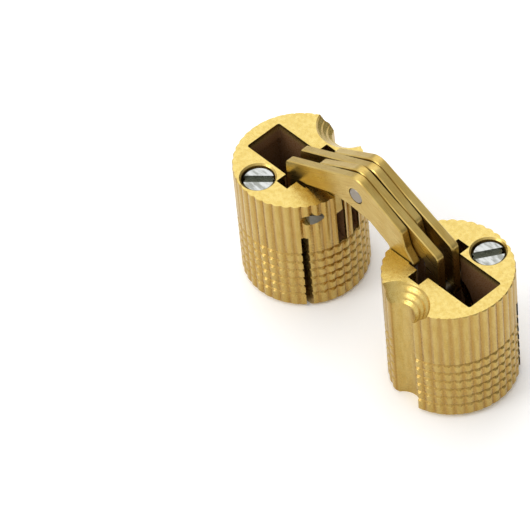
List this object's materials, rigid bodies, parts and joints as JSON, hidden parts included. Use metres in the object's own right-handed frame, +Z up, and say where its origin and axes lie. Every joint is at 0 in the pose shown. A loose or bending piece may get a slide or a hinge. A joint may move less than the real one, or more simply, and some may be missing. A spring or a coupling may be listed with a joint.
{
  "type": "invisible barrel hinge",
  "caption": "Brass barrel hinge: a pair of split knurled barrels for drilled holes, joined by scissor link plates that open flat and fold away inside the barrels.",
  "frame": {"origin": "On the plane of the two barrel feet, midway between the barrels, with the hinge open to 180 degrees.", "axes": "+X from barrel a to barrel b, +Y along the hinge pins, +Z up from the feet to the faces."},
  "size_m": [0.0412, 0.016, 0.0253],
  "materials": {
    "barrel_brass": "turned and knurled brass, semi-bright",
    "link_brass": "stamped brass plate, satin",
    "pin_steel": "ground steel pin",
    "screw_steel": "bright zinc-plated steel"
  },
  "bodies": {
    "barrel_a": {"barrel_a": "barrel_brass", "pivot_pin_a": "pin_steel"},
    "links_a": {"link_2": "link_brass", "link_4": "link_brass", "centre_pin": "pin_steel", "guide_pin_b": "pin_steel"},
    "links_b": {"link_1": "link_brass", "link_3": "link_brass", "guide_pin_a": "pin_steel"},
    "barrel_b": {"barrel_b": "barrel_brass", "pivot_pin_b": "pin_steel"},
    "screw_a": {"spread_screw_a": "screw_steel"},
    "screw_b": {"spread_screw_b": "screw_steel"}
  },
  "joints": [
    {"name": "fold", "type": "hinge", "parent": "barrel_a", "child": "links_a", "pos_m": [-0.00625, 0, 0.0151], "axis": [0, -1, 0], "range_deg": [0, 115.12]},
    {"name": "scissor", "type": "hinge", "parent": "links_a", "child": "links_b", "pos_m": [0, 0, 0.0223], "axis": [0, -1, 0], "range_deg": [-50.26, 0]},
    {"name": "fold_far", "type": "hinge", "parent": "links_b", "child": "barrel_b", "pos_m": [0.00625, 0, 0.0151], "axis": [0, -1, 0], "range_deg": [0, 115.13]},
    {"name": "spread_a", "type": "hinge", "parent": "barrel_a", "child": "screw_a", "pos_m": [-0.01417, -0.00516, 0.016], "axis": [0, 0, 1], "range_deg": [-540, 0]},
    {"name": "spread_b", "type": "hinge", "parent": "barrel_b", "child": "screw_b", "pos_m": [0.01417, 0.00516, 0.016], "axis": [0, 0, 1], "range_deg": [-540, 0]}
  ],
  "couplings": [
    {"joint": "scissor", "follows": "fold", "ratio": -0.43646},
    {"joint": "fold_far", "follows": "fold", "ratio": 1}
  ]
}
